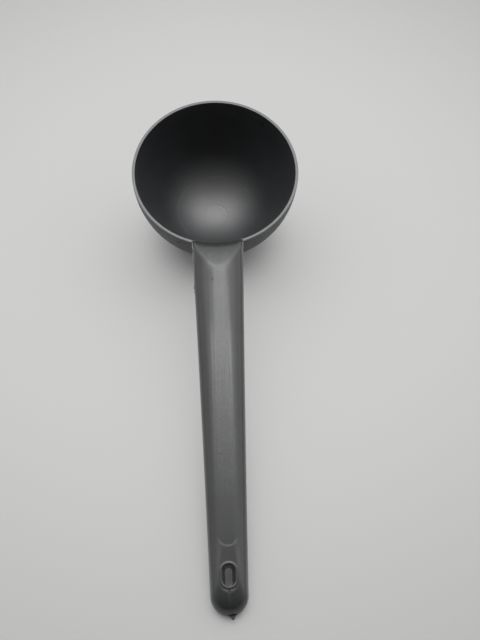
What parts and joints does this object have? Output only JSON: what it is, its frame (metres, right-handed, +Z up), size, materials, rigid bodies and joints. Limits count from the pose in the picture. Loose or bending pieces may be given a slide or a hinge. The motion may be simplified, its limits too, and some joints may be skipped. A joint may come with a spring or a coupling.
{
  "type": "food scoop",
  "caption": "Deep egg-shaped food scoop in grey moulded plastic, on a long hollow crowned handle that tapers to a rounded end with a hanging slot",
  "frame": {"origin": "on the surface it lies on, under the centre of its box", "axes": "+Z up, +Y from the handle's end to the bowl along the length of the scoop, +X to the right seen from the handle's end; the scoop lies on its bowl and its handle's end, so its rim is tipped down towards the handle"},
  "size_m": [0.1036, 0.3184, 0.0706],
  "materials": {
    "grey_plastic": "satin"
  },
  "bodies": {
    "root": {"bowl": "grey_plastic", "handle_upper_shell": "grey_plastic", "handle_lower_shell": "grey_plastic"}
  },
  "joints": []
}
